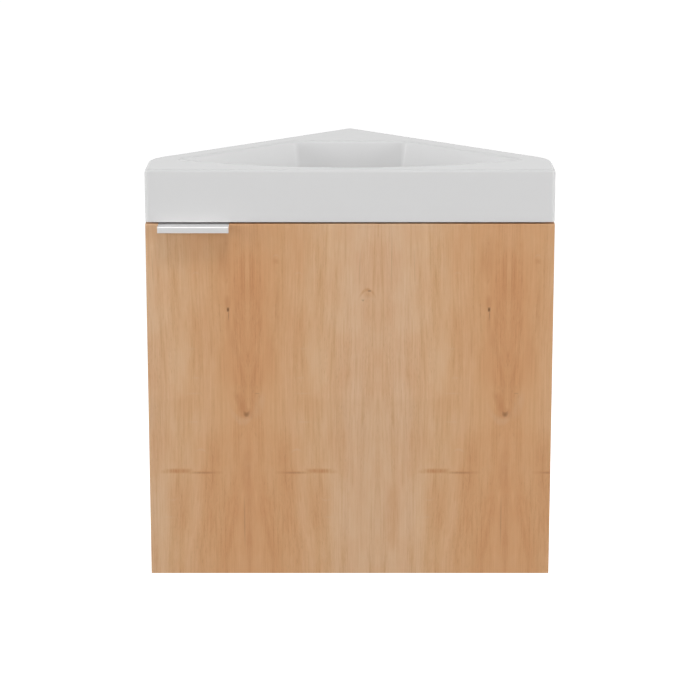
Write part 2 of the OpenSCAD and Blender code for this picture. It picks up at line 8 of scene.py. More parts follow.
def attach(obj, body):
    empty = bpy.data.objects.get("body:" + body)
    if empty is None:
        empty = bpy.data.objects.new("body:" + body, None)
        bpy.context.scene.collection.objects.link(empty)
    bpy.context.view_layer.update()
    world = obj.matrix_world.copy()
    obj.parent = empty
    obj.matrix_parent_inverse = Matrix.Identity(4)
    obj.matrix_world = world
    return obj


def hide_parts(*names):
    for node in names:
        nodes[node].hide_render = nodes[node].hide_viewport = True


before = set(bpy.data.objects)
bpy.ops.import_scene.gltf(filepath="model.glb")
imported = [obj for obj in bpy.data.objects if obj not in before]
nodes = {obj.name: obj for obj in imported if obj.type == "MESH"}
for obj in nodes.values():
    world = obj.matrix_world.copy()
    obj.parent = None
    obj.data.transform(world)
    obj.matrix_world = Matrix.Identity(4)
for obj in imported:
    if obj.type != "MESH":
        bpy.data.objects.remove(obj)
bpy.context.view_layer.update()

scene = bpy.context.scene
perMetre = 1000
finishes = {}
print("frame loaded:", len(nodes), "parts")


# ---- small helpers for shader trees

def newFinish(name):
    finishes[name] = material = bpy.data.materials.new(name)
    material.use_nodes = True
    tree = material.node_tree
    return tree, tree.nodes["Principled BSDF"]


def put(tree, kind, inputs=None, **settings):
    node = tree.nodes.new(kind)
    for key, value in settings.items():
        setattr(node, key, value)
    for key, value in (inputs or {}).items():
        if isinstance(value, bpy.types.NodeSocket):
            tree.links.new(value, node.inputs[key])
        else:
            node.inputs[key].default_value = value
    return node


def calc(tree, operation, *values, clamp=False):
    inputs = {i: v for i, v in enumerate(values)}
    return put(tree, "ShaderNodeMath", inputs, operation=operation, use_clamp=clamp).outputs[0]


def times(tree, *values):
    return calc(tree, "MULTIPLY", *values)


def coordinates(tree):
    return put(tree, "ShaderNodeTexCoord").outputs["Object"]


def stretched(tree, vector, scale):
    return put(tree, "ShaderNodeMapping", {"Vector": vector, "Scale": scale}).outputs[0]


def noise(tree, vector, scale=1.0, detail=2.0, roughness=0.5, distortion=0.0):
    return put(tree, "ShaderNodeTexNoise", {
        "Vector": vector, "Scale": scale, "Detail": detail, "Roughness": roughness,
        "Distortion": distortion}).outputs["Fac"]


def ramp(tree, factor, stops):
    node = put(tree, "ShaderNodeValToRGB", {"Fac": factor})
    elements = node.color_ramp.elements
    while len(elements) < len(stops):
        elements.new(0.5)
    for element, (position, colour) in zip(elements, stops):
        element.position = position
        element.color = (*colour, 1)
    return node.outputs["Color"]


def mixed(tree, factor, a, b, blend="MIX"):
    node = put(tree, "ShaderNodeMix", data_type="RGBA", blend_type=blend)
    for index, value in ((0, factor), (6, a), (7, b)):
        if isinstance(value, bpy.types.NodeSocket):
            tree.links.new(value, node.inputs[index])
        elif index == 0:
            node.inputs[0].default_value = value
        else:
            node.inputs[index].default_value = (*value, 1)
    return node.outputs[2]


def between(tree, value, low, high, newLow=0.0, newHigh=1.0):
    return put(tree, "ShaderNodeMapRange", {
        "Value": value, "From Min": low, "From Max": high, "To Min": newLow,
        "To Max": newHigh}, interpolation_type="SMOOTHSTEP").outputs[0]


def painted(tree, shader, colour, rough):
    tree.links.new(colour, shader.inputs["Base Color"])
    tree.links.new(rough, shader.inputs["Roughness"])


def bumped(tree, shader, height, distance, strength):
    node = put(tree, "ShaderNodeBump", {
        "Height": height, "Distance": distance, "Strength": strength})
    tree.links.new(node.outputs[0], shader.inputs["Normal"])


# ---- oak decor: the door, and the carcass boards in the same finish

oak = {
    # the decor's repeat, its mirror line and its seam; how far tones and streaks sway
    "period": 0.321, "fold": 0.126, "seam": 0.121, "sway": 0.045, "bend": 0.02,
    # four numbers: from and to on the input, from and to on the result
    "upperHeight": (0.222, 0.232), "upperFold": (0.050, 0.100, 0.35, 1.0),
    "upperAmount": 0.5, "upperTint": (1.06, 1.08, 1.12),
    "held": (0.34, 0.60, 0.25, 1.0), "ragged": (0.3, 0.6, 0.45, 1.0),
    "pore": (0.30, 0.12), "porous": (0.42, 0.62), "poreAmount": 0.32,
    "poreTint": (0.56, 0.42, 0.32),
    "rough": (0.25, 0.75, 0.44, 0.56), "specular": 0.32, "relief": 0.00006,
    # tone across the folded width, from one mirror line to the next
    "tones": [(0.00, (0.746, 0.414, 0.206)), (0.15, (0.736, 0.405, 0.198)),
              (0.27, (0.746, 0.427, 0.215)), (0.38, (0.752, 0.437, 0.228)),
              (0.52, (0.757, 0.461, 0.249)), (0.64, (0.768, 0.485, 0.275)),
              (0.80, (0.770, 0.497, 0.299)), (1.00, (0.759, 0.482, 0.281))],
    "knot": (0.17, 0.070, 0.025), "red": (0.590, 0.265, 0.110), "pale": (0.75, 0.52, 0.34),
}

# scale across and along the grain, detail, roughness and distortion of each layer
grainLayers = {
    "broad": (48, 3, 4, 0.5, 0.3), "mottle": (34, 13, 4, 0.6, 0.0),
    "ragged": (700, 70, 3, 0.5, 0.0), "fine": (520, 14, 4, 0.65, 0.0),
    "fibre": (1700, 34, 2, 0.5, 0.0),
}

# layer, where it starts and is full, amount, tint, held back away from broad streaks
grainTints = [
    ("mottle", 0.44, 0.70, 0.85, (0.965, 0.90, 0.86), False),
    ("mottle", 0.54, 0.30, 0.90, (1.02, 1.055, 1.11), False),
    ("broad", 0.46, 0.70, 0.50, (0.90, 0.80, 0.70), False),
    ("fine", 0.44, 0.72, 0.62, (0.84, 0.73, 0.62), True),
    ("fine", 0.48, 0.28, 0.80, (1.04, 1.07, 1.10), False),
    ("fibre", 0.50, 0.80, 0.24, (0.80, 0.68, 0.58), False),
]

# finish, space, u, v, half width and half height in millimetres, curve, lean, strength
# space "fold" is mirrored about the seams, "repeat" comes back every period
oakMarks = [
    ("knot", "repeat", -150, 340.5, 1.9, 3.3, 0, 0, 0.95),
    ("knot", "repeat", -149.5, 333, 0.7, 7, 0, 0.05, 0.40),
    ("red", "repeat", -150.5, 349, 5, 11, 0, 0, 0.50),
    ("red", "repeat", -150, 325, 3.2, 18, 0, 0, 0.35),
    ("red", "repeat", -153, 406, 11, 33, 0, 0.05, 0.38),
    ("red", "repeat", -145, 301, 5.5, 26, 0, -0.20, 0.34),
    ("knot", "repeat", -128.5, 207, 4.2, 3.6, 160, 0, 0.54),
    ("red", "repeat", -134.5, 219, 7, 19, 0, -0.35, 0.72),
    ("red", "repeat", -128.8, 208.5, 10, 7.5, 0, 0, 0.62),
    ("pale", "repeat", -133, 198.5, 20, 7, 60, 0, 0.28),
    ("pale", "repeat", -113, 218, 8, 20, 0, 0.2, 0.22),
    ("knot", "repeat", -115, 234, 3.6, 1, 0, 0, 0.22),
    ("pale", "repeat", -90.5, 409, 7, 1.6, -160, 0, 0.26),
    ("red", "repeat", -90.5, 401, 4.4, 4, 0, 0, 0.42),
    ("knot", "repeat", 24, 364, 2.6, 1.2, 0, 0, 0.55),
    ("knot", "repeat", 16, 352, 2, 1.4, 380, 0, 0.35),
    ("red", "repeat", 21.5, 365.5, 12, 3, -90, 0, 0.60),
    ("red", "repeat", 22.5, 359, 6, 5, 0, 0, 0.30),
    ("pale", "repeat", 21.5, 356, 13, 3, -60, 0, 0.24),
    ("knot", "repeat", 51, 404, 0.7, 40, 0, 0.01, 0.16),
    ("knot", "repeat", 79, 395, 0.7, 25, 0, -0.03, 0.14),
    ("knot", "repeat", 12, 395, 0.7, 25, 0, 0.03, 0.14),
    ("red", "repeat", -151.5, 423, 2.6, 4.2, 0, 0, 0.55),
    ("red", "repeat", -151, 377, 1.8, 5, 0, 0.30, 0.40),
    ("red", "repeat", -89, 340, 3.4, 40, 0, 0, 0.38),
    ("red", "repeat", -98, 295, 6, 30, 0, 0, 0.20),
    ("red", "repeat", -171, 296, 2.6, 23, 0, 0, 0.36),
    ("knot", "repeat", -132, 69, 1, 34, 0, 0, 0.22),
    ("red", "repeat", -129, 135, 8.5, 33, 0, 0, 0.42),
    ("red", "repeat", -127, 62, 9, 56, 0, 0.02, 0.34),
    ("pale", "repeat", 26, 118, 27, 125, 0, 0, 0.24),
    ("red", "repeat", 52.5, 75, 11, 48, 0, 0, 0.34),
    ("red", "fold", 118, 165, 2.4, 30, 0, 0, 0.25),
    ("red", "fold", 88, 134.2, 19.5, 3.6, 0, 0, 0.95),
    ("red", "fold", 102, 133, 10, 2.6, 0, 0, 0.45),
    ("knot", "fold", 57, 131.8, 16, 1.2, 0, 0, 0.20),
    ("red", "fold", 56, 132.2, 27, 2.4, 0, 0, 0.62),
    ("pale", "fold", 63, 387, 6.2, 1.7, -120, 0, 0.26),
    ("pale", "fold", 68, 291, 5, 1.4, 0, 0, 0.22),
    ("pale", "fold", 65, 254, 6, 1.3, 0, 0, 0.24),
    ("pale", "fold", 67, 234, 11, 1.5, 0, 0, 0.24),
    ("pale", "fold", 69, 197.5, 10, 1.4, 0, 0, 0.26),
    ("pale", "fold", 60, 162, 8.5, 1.8, -70, 0, 0.30),
    ("pale", "fold", 96, 96, 9, 1.6, 60, 0, 0.22),
    ("pale", "fold", 100, 74, 11, 1.4, 0, 0, 0.18),
]
markShape = ("midU", "midV", "halfU", "halfV", "curve", "lean")


def markGroup():
    # one soft stroke: fades to nothing at its half width and half height
    group = bpy.data.node_groups.new("grainMark", "ShaderNodeTree")
    for name in ("u", "v", *markShape):
        group.interface.new_socket(name, in_out="INPUT", socket_type="NodeSocketFloat")
    group.interface.new_socket("mask", in_out="OUTPUT", socket_type="NodeSocketFloat")
    start = group.nodes.new("NodeGroupInput").outputs
    end = group.nodes.new("NodeGroupOutput").inputs
    du = calc(group, "SUBTRACT", start["u"], start["midU"])
    dv = calc(group, "SUBTRACT", start["v"], start["midV"])
    bent = times(group, times(group, du, du), start["curve"])
    across = calc(group, "SUBTRACT", du, times(group, dv, start["lean"]))
    up = calc(group, "SUBTRACT", dv, bent)
    fades = []
    for offset, half in ((across, start["halfU"]), (up, start["halfV"])):
        part = calc(group, "DIVIDE", offset, half)
        square = times(group, part, part)
        fades.append(calc(group, "SUBTRACT", 1.0, square, clamp=True))
    group.links.new(times(group, *fades), end["mask"])
    return group


def oakGrain(tree, point, along):
    # broad streaks, fine streaks and pores, drawn out along one axis
    def drawn(across, length):
        return tuple(length if axis == along else across for axis in "xyz")
    sway = noise(tree, stretched(tree, point, drawn(9, 3)), detail=1)
    bend = times(tree, calc(tree, "SUBTRACT", sway, 0.5), oak["bend"])
    point = put(tree, "ShaderNodeVectorMath", {0: point, 1: bend}, operation="ADD").outputs[0]
    grain = {"sway": sway}
    for name, (across, length, *look) in grainLayers.items():
        grain[name] = noise(tree, stretched(tree, point, drawn(across, length)), 1.0, *look)
    pore = put(tree, "ShaderNodeTexVoronoi", {
        "Vector": stretched(tree, point, drawn(1300, 85)), "Scale": 1.0,
        "Randomness": 1.0}, feature="F1").outputs["Distance"]
    grain["pores"] = times(tree, between(tree, pore, *oak["pore"]),
                           between(tree, grain["broad"], *oak["porous"]))
    return grain


def grained(tree, colour, grain):
    zone = between(tree, grain["broad"], *oak["held"])
    for layer, start, full, amount, tint, held in grainTints:
        factor = between(tree, grain[layer], start, full)
        if held:
            factor = times(tree, factor, zone)
        colour = mixed(tree, times(tree, factor, amount), colour, tint, "MULTIPLY")
    return mixed(tree, times(tree, grain["pores"], oak["poreAmount"]), colour, oak["poreTint"],
                 "MULTIPLY")


def oakFinish(tree, shader, colour, grain):
    painted(tree, shader, colour, between(tree, grain["fine"], *oak["rough"]))
    shader.inputs["Specular IOR Level"].default_value = oak["specular"]
    height = calc(tree, "SUBTRACT", times(tree, grain["fibre"], 0.45), grain["pores"])
    bumped(tree, shader, height, oak["relief"], 0.7)


def doorOak():
    tree, shader = newFinish("doorOak")
    point = coordinates(tree)
    axes = put(tree, "ShaderNodeSeparateXYZ", {0: point}).outputs
    half = oak["period"] / 2
    fold = calc(tree, "PINGPONG", calc(tree, "ADD", axes[0], oak["fold"]), half)
    repeat = calc(tree, "WRAP", axes[0], oak["seam"], oak["seam"] - oak["period"])
    folded = put(tree, "ShaderNodeCombineXYZ", {0: fold, 1: axes[1], 2: axes[2]}).outputs[0]
    grain = oakGrain(tree, folded, "z")
    shift = times(tree, calc(tree, "SUBTRACT", grain["sway"], 0.5), oak["sway"])
    swayed = calc(tree, "ADD", fold, shift)
    colour = ramp(tree, calc(tree, "DIVIDE", swayed, half), oak["tones"])
    upper = times(tree, between(tree, axes[2], *oak["upperHeight"]),
                  between(tree, fold, *oak["upperFold"]))
    colour = mixed(tree, times(tree, upper, oak["upperAmount"]), colour, oak["upperTint"],
                   "MULTIPLY")
    colour = grained(tree, colour, grain)
    group = markGroup()
    for finish in ("pale", "red", "knot"):
        total = None
        marks = [mark[1:] for mark in oakMarks if mark[0] == finish]
        for space, *sizes, curve, lean, strength in marks:
            node = put(tree, "ShaderNodeGroup", node_tree=group)
            tree.links.new(fold if space == "fold" else repeat, node.inputs["u"])
            tree.links.new(axes[2], node.inputs["v"])
            shape = [size / perMetre for size in sizes] + [curve, lean]
            for name, value in zip(markShape, shape):
                node.inputs[name].default_value = value
            mask = times(tree, node.outputs[0], strength)
            total = mask if total is None else calc(tree, "MAXIMUM", total, mask)
        if finish != "knot":
            total = times(tree, total, between(tree, grain["ragged"], *oak["ragged"]))
        colour = mixed(tree, total, colour, oak[finish])
    oakFinish(tree, shader, colour, grain)


def chipboard(tree, point):
    # flakes of two sizes, pressed and cut through
    flake = put(tree, "ShaderNodeTexVoronoi", {
        "Vector": stretched(tree, point, (800, 800, 1300)), "Scale": 1.0}).outputs["Color"]
    small = noise(tree, stretched(tree, point, (1500, 1500, 2600)), detail=3)
    shade = put(tree, "ShaderNodeSeparateXYZ", {0: flake}).outputs[0]
    colour = ramp(tree, shade, [(0.0, (0.46, 0.31, 0.17)), (0.35, (0.55, 0.39, 0.23)),
                                (0.7, (0.62, 0.46, 0.28)), (1.0, (0.70, 0.54, 0.36))])
    return mixed(tree, between(tree, small, 0.4, 0.7, 0, 0.5), colour, (0.40, 0.26, 0.14))


def boardOak(name, along, faces, banded=(0, -1, 0)):
    # oak on the faces and on the banded edge, chipboard where the board is cut
    tree, shader = newFinish(name)
    texture = put(tree, "ShaderNodeTexCoord").outputs
    point, normal = texture["Object"], texture["Normal"]
    grain = oakGrain(tree, point, along)
    colour = ramp(tree, grain["sway"], [(0.25, oak["tones"][1][1]), (0.45, oak["tones"][3][1]),
                                        (0.75, oak["tones"][6][1])])
    colour = grained(tree, colour, grain)

    def facing(direction, lowest, both):
        dot = put(tree, "ShaderNodeVectorMath", {0: normal, 1: direction},
                  operation="DOT_PRODUCT").outputs["Value"]
        if both:
            dot = calc(tree, "ABSOLUTE", dot)
        return calc(tree, "GREATER_THAN", dot, lowest)
    skin = calc(tree, "MAXIMUM", facing(faces, 0.6, True), facing(banded, 0.6, False))
    colour = mixed(tree, skin, chipboard(tree, point), colour)
    oakFinish(tree, shader, colour, grain)


# ---- the other finishes

gel = {"grey": (0.837, 0.843), "rough": (0.14, 0.16), "specular": 0.14, "relief": 0.00002}


def gelCoat():
    tree, shader = newFinish("gelCoat")
    point = coordinates(tree)
    cloud = noise(tree, point, scale=4, detail=1)
    peel = noise(tree, point, scale=420, detail=2)
    low, high = gel["grey"]
    colour = ramp(tree, cloud, [(0.3, (low, low, low)), (0.7, (high, high, high))])
    painted(tree, shader, colour, between(tree, cloud, 0.3, 0.7, *gel["rough"]))
    shader.inputs["Specular IOR Level"].default_value = gel["specular"]
    bumped(tree, shader, peel, gel["relief"], 0.35)


def metal(name, colour, rough, brushed=(300, 300, 300), wear=0.03):
    lineSpread, dullSpread = 0.08, 0.06
    tree, shader = newFinish(name)
    point = coordinates(tree)
    lines = noise(tree, stretched(tree, point, brushed), detail=3)
    dull = noise(tree, point, scale=60, detail=2)
    low = tuple(c * (1 - wear) for c in colour)
    high = tuple(min(1.0, c * (1 + wear)) for c in colour)
    shader.inputs["Metallic"].default_value = 1.0
    spread = calc(tree, "ADD", times(tree, lines, lineSpread), times(tree, dull, dullSpread))
    painted(tree, shader, ramp(tree, lines, [(0.3, low), (0.7, high)]),
            calc(tree, "ADD", spread, rough - (lineSpread + dullSpread) / 2))
    bumped(tree, shader, lines, 0.00001, 0.4)


def softPlastic(name, colour, rough, clear=0.0):
    tree, shader = newFinish(name)
    point = coordinates(tree)
    grain = noise(tree, point, scale=700, detail=2)
    low = tuple(c * 0.9 for c in colour)
    painted(tree, shader, ramp(tree, grain, [(0.3, low), (0.7, colour)]),
            between(tree, grain, 0.3, 0.7, rough - 0.05, rough + 0.05))
    shader.inputs["Transmission Weight"].default_value = clear
    bumped(tree, shader, grain, 0.00003, 0.5)


def beechWood():
    tree, shader = newFinish("beechDowel")
    grain = oakGrain(tree, coordinates(tree), "x")
    colour = ramp(tree, grain["broad"], [(0.3, (0.66, 0.44, 0.26)), (0.7, (0.76, 0.55, 0.36))])
    oakFinish(tree, shader, grained(tree, colour, grain), grain)


diagonal = sqrt(0.5)
outOfRight, outOfLeft = (diagonal, diagonal, 0), (-diagonal, diagonal, 0)
gelCoat()
doorOak()
boardOak("sideOak", "z", (1, 0, 0))
boardOak("rightWallOak", "z", outOfRight, (0, 0, -1))
boardOak("leftWallOak", "z", outOfLeft, (0, 0, -1))
boardOak("flatOak", "x", (0, 0, 1))
boardOak("railOak", "x", (0, 1, 0), (0, 0, -1))
metal("satinAluminium", (0.77, 0.765, 0.76), 0.50, (25, 1400, 1400))
metal("nickel", (0.70, 0.69, 0.67), 0.26)
metal("chrome", (0.78, 0.785, 0.79), 0.10)
metal("zinc", (0.62, 0.63, 0.64), 0.34, wear=0.08)
softPlastic("blackRubber", (0.022, 0.022, 0.023), 0.62)
softPlastic("clearBumper", (0.80, 0.83, 0.85), 0.18, 0.85)
beechWood()
print("finishes made:", len(finishes))

# the nodes that show their own CAD mesh; the others are replaced further down
nodeFinish = {
    "door_panel": "doorOak", "left_side_panel": "sideOak", "right_side_panel": "sideOak",
    "left_wall_panel": "leftWallOak", "right_wall_panel": "rightWallOak",
    "bottom_panel": "flatOak", "shelf": "flatOak", "front_top_rail": "railOak",
    "waste_top_seal": "blackRubber", "waste_bottom_seal": "blackRubber",
    "shelf_pins": "zinc", "corner_dowels": "beechDowel", "door_bumpers": "clearBumper",
    "hinge_pins": "zinc",
}
for name, finish in nodeFinish.items():
    slots = nodes[name].data.materials
    slots.clear()
    slots.append(finishes[finish])


def placed(name, data):
    thing = bpy.data.objects.new(name, data)
    scene.collection.objects.link(thing)
    return thing


def finished(name, mesh, finish, body, slot, *replaced):
    # turns a bmesh into a piece of the unit, which takes the place of a CAD node
    bmesh.ops.recalc_face_normals(mesh, faces=mesh.faces)
    data = bpy.data.meshes.new(name)
    mesh.to_mesh(data)
    mesh.free()
    data.materials.append(finishes[finish])
    for face in data.polygons:
        face.use_smooth = True
    piece = placed(name, data)
    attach(piece, body)
    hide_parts(*replaced)
    # keeps flat faces flat beside their rounded edges
    modifier = piece.modifiers.new("evenNormals", "WEIGHTED_NORMAL")
    modifier.keep_sharp = True
    modifier.weight = 60
    return piece


# ---- shaping shared by several pieces

def growRings(mesh, rings):
    # one strip of faces from ring to ring; returns its first and last edges
    current = [mesh.verts.new(p) for p in rings[0]]
    start = [mesh.edges.new(pair) for pair in zip(current, current[1:] + current[:1])]
    edges = start
    for ring in rings[1:]:
        grown = bmesh.ops.extrude_edge_only(mesh, edges=edges)["geom"]
        known = set(current)
        edges = [g for g in grown if isinstance(g, bmesh.types.BMEdge)
                 and not known.intersection(g.verts)]
        fresh = {v for e in edges for v in e.verts}
        current = [next(e.other_vert(v) for e in v.link_edges if e.other_vert(v) in fresh)
                   for v in current]
        for vert, place in zip(current, ring):
            vert.co = place
    return start, edges


def closedStrip(rings):
    # the strip closes on itself, from its last ring to its first
    mesh = bmesh.new()
    start, end = growRings(mesh, rings)
    bmesh.ops.bridge_loops(mesh, edges=start + end)
    return mesh


def fullTurn(count):
    return [2 * pi * i / count for i in range(count)]


def partTurn(start, end, steps):
    return [radians(start + (end - start) * i / steps) for i in range(steps + 1)]


def circlePoints(radius, height, count):
    return [(radius * cos(a), radius * sin(a), height) for a in fullTurn(count)]


def lathe(profile, steps=64, closed=True):
    # spins a line of (radius, height) points about the Z axis
    mesh = bmesh.new()
    verts = [mesh.verts.new((radius, 0, height)) for radius, height in profile]
    pairs = zip(verts, verts[1:] + verts[:1]) if closed else zip(verts, verts[1:])
    edges = [mesh.edges.new(pair) for pair in pairs]
    bmesh.ops.spin(mesh, geom=verts + edges, cent=(0, 0, 0), axis=(0, 0, 1), angle=2 * pi,
                   steps=steps, use_merge=True)
    bmesh.ops.remove_doubles(mesh, verts=mesh.verts, dist=1e-6)
    return mesh


def extruded(outline, vector):
    # a flat outline of 3D points drawn out along a vector
    mesh = bmesh.new()
    face = mesh.faces.new([mesh.verts.new(p) for p in outline])
    grown = bmesh.ops.extrude_face_region(mesh, geom=[face])["geom"]
    bmesh.ops.translate(mesh, verts=[g for g in grown if isinstance(g, bmesh.types.BMVert)],
                        vec=vector)
    return mesh


def block(size):
    mesh = bmesh.new()
    bmesh.ops.create_cube(mesh, size=1)
    bmesh.ops.scale(mesh, verts=mesh.verts, vec=size)
    return mesh


def bevelled(mesh, edges, offset, segments):
    bmesh.ops.bevel(mesh, geom=edges, offset=offset, segments=segments, profile=0.5,
                    affect="EDGES", material=-1)
    return mesh


def roundEdges(mesh, offset, segments=3, low=30, high=181, pick=None):
    # rounds the edges whose faces turn by an angle between low and high degrees
    chosen = [e for e in mesh.edges if len(e.link_faces) == 2
              and radians(low) < e.calc_face_angle(0) < radians(high)
              and (pick is None or pick(*(v.co for v in e.verts)))]
    return bevelled(mesh, chosen, offset, segments)


def joined(mesh, part, *places):
    # adds a copy of a part at each place, and lets the part go
    shape = bpy.data.meshes.new("partShape")
    part.to_mesh(shape)
    part.free()
    for place in places:
        known = set(mesh.verts)
        mesh.from_mesh(shape)
        bmesh.ops.transform(mesh, matrix=place, verts=[v for v in mesh.verts if v not in known])
    bpy.data.meshes.remove(shape)
    return mesh


def standing(point, outwards):
    # a place whose Z axis points outwards
    turn = Vector(outwards).to_track_quat("Z", "Y").to_matrix().to_4x4()
    return Matrix.Translation(point) @ turn


# ---- basin: one casting, drawn as a strip of rings that closes on itself

basin = {
    "width": 0.500, "returnDepth": 0.0865, "bottom": 0.4495, "top": 0.5145,
    "cornerRadius": 0.005, "wallCornerRadius": 0.055, "apexRadius": 0.007,
    "rim": 0.02725, "frontRim": 0.016, "frontArc": 0.430, "bowlBack": 0.226,
    "depth": 0.090, "draft": 12, "fillet": 0.028, "shell": 0.008, "deck": 0.010,
    "apronWall": 0.012, "rimRound": 0.004, "edgeRound": 0.0035, "floorSlope": 4,
    "floorDrop": 0.004,
    # radii of the bowl's corners at the rim and below it, how soon they change, and how
    # they grow on the floor
    "tip": (0.009, 0.006), "back": (0.016, 0.008), "cornerEase": 0.010, "cornerGrowth": 0.4,
    "drain": (0, -0.2025), "drainRing": 0.037, "holeRadius": 0.023,
    "seatRadius": 0.0335, "seatDepth": 0.0025, "padRadius": 0.033, "padDepth": 0.003,
    # the smallest rounding, where points along the wall edges close up, the loops below
    "nick": 0.0006, "wallMarks": (0.1356, 0.100), "edgeLoop": 0.012,
    "footRings": [(0, 0.012), (0, 0.0015), (0.0003, 0.0006), (0.0010, 0.0001), (0.0015, 0)],
    "innerRound": 0.001, "deckRound": 0.002, "shellLoops": (0.020, 0.035),
}


def lineMeet(angleA, distanceA, angleB, distanceB):
    a, b = radians(angleA), radians(angleB)
    size = sin(b - a)
    return ((distanceA * sin(b) - distanceB * sin(a)) / size,
            (distanceB * cos(a) - distanceA * cos(b)) / size)


def arcPoints(centre, radius, start, end, steps):
    turns = [radians(start + (end - start) * i / steps) for i in range(steps)]
    return [(centre[0] + radius * cos(a), centre[1] + radius * sin(a)) for a in turns]


def linePoints(start, end, steps):
    return [tuple(p + (q - p) * i / steps for p, q in zip(start, end)) for i in range(steps)]


def bothHalves(right, last):
    left = [(-x, y) for x, y in reversed(right[1:])]
    return right + [last] + left


def towardsWall(centre, radius):
    # the point of a circle that is nearest to the right wall
    return (centre[0] + radius * diagonal, centre[1] + radius * diagonal)


def apronOutline(inset):
    half, depth = basin["width"] / 2, basin["width"] / 2 + basin["returnDepth"]
    front, wall, apex = (max(basin[radius] - inset, basin["nick"]) for radius in (
        "cornerRadius", "wallCornerRadius", "apexRadius"))
    frontCorner = lineMeet(-90, depth - inset - front, 0, half - inset - front)
    wallCorner = lineMeet(0, half - inset - wall, 45, -inset - wall)
    apexCorner = lineMeet(45, -inset - apex, 135, -inset - apex)

    def onWall(u):
        return ((u - inset) * diagonal, (-u - inset) * diagonal)
    nearMark, farMark = (onWall(u) for u in basin["wallMarks"])
    right = (linePoints((0, -depth + inset), (frontCorner[0], -depth + inset), 26)
             + arcPoints(frontCorner, front, -90, 0, 6)
             + linePoints((half - inset, frontCorner[1]), (half - inset, wallCorner[1]), 4)
             + arcPoints(wallCorner, wall, 0, 45, 12)
             + linePoints(towardsWall(wallCorner, wall), nearMark, 20)
             + linePoints(nearMark, farMark, 10)
             + linePoints(farMark, towardsWall(apexCorner, apex), 4)
             + arcPoints(apexCorner, apex, 45, 90, 6))
    return bothHalves(right, (0, apexCorner[1] + apex))


def bowlOutline(inset, grow=0.0):
    depth = basin["width"] / 2 + basin["returnDepth"]
    arcY = -depth + basin["frontRim"] + basin["frontArc"]
    wallEndInset = wallLine(wallEnd())

    def radiusAt(pair):
        t = inset + grow
        if t < wallEndInset:
            part = min(max(t / basin["cornerEase"], 0), 1)
            return pair[0] + (pair[1] - pair[0]) * part + grow
        return pair[1] + (t - wallEndInset) * basin["cornerGrowth"] + grow
    tip, back = radiusAt(basin["tip"]), radiusAt(basin["back"])
    k = sqrt(2) * (-basin["rim"] - inset - tip) - arcY
    reach = basin["frontArc"] - inset - tip
    tipX = (k + sqrt(2 * reach * reach - k * k)) / 2
    tipCentre = (tipX, arcY + k - tipX)
    tipAngle = atan2(tipCentre[1] - arcY, tipCentre[0]) * 180 / pi
    backY = basin["bowlBack"] - depth - inset - back
    backCentre = lineMeet(45, -basin["rim"] - inset - back, 90, backY)
    right = (arcPoints((0, arcY), basin["frontArc"] - inset, -90, tipAngle, 36)
             + arcPoints(tipCentre, tip, tipAngle, 45, 12)
             + linePoints(towardsWall(tipCentre, tip), towardsWall(backCentre, back), 20)
             + arcPoints(backCentre, back, 45, 90, 10)
             + linePoints((backCentre[0], backY + back), (0, backY + back), 10))
    return bothHalves(right, (0, backY + back))


def wallEnd():
    return basin["depth"] - basin["floorDrop"] - basin["fillet"] * (
        cos(radians(basin["floorSlope"])) - sin(radians(basin["draft"])))


def wallLine(depth):
    return basin["rimRound"] + (depth - basin["rimRound"]) * tan(radians(basin["draft"]))


def filletPoint(angle, grow):
    draft, radius = radians(basin["draft"]), basin["fillet"]
    return (wallLine(wallEnd()) + radius * cos(draft) - (radius + grow) * cos(radians(angle)),
            wallEnd() - radius * sin(draft) + (radius + grow) * sin(radians(angle)))


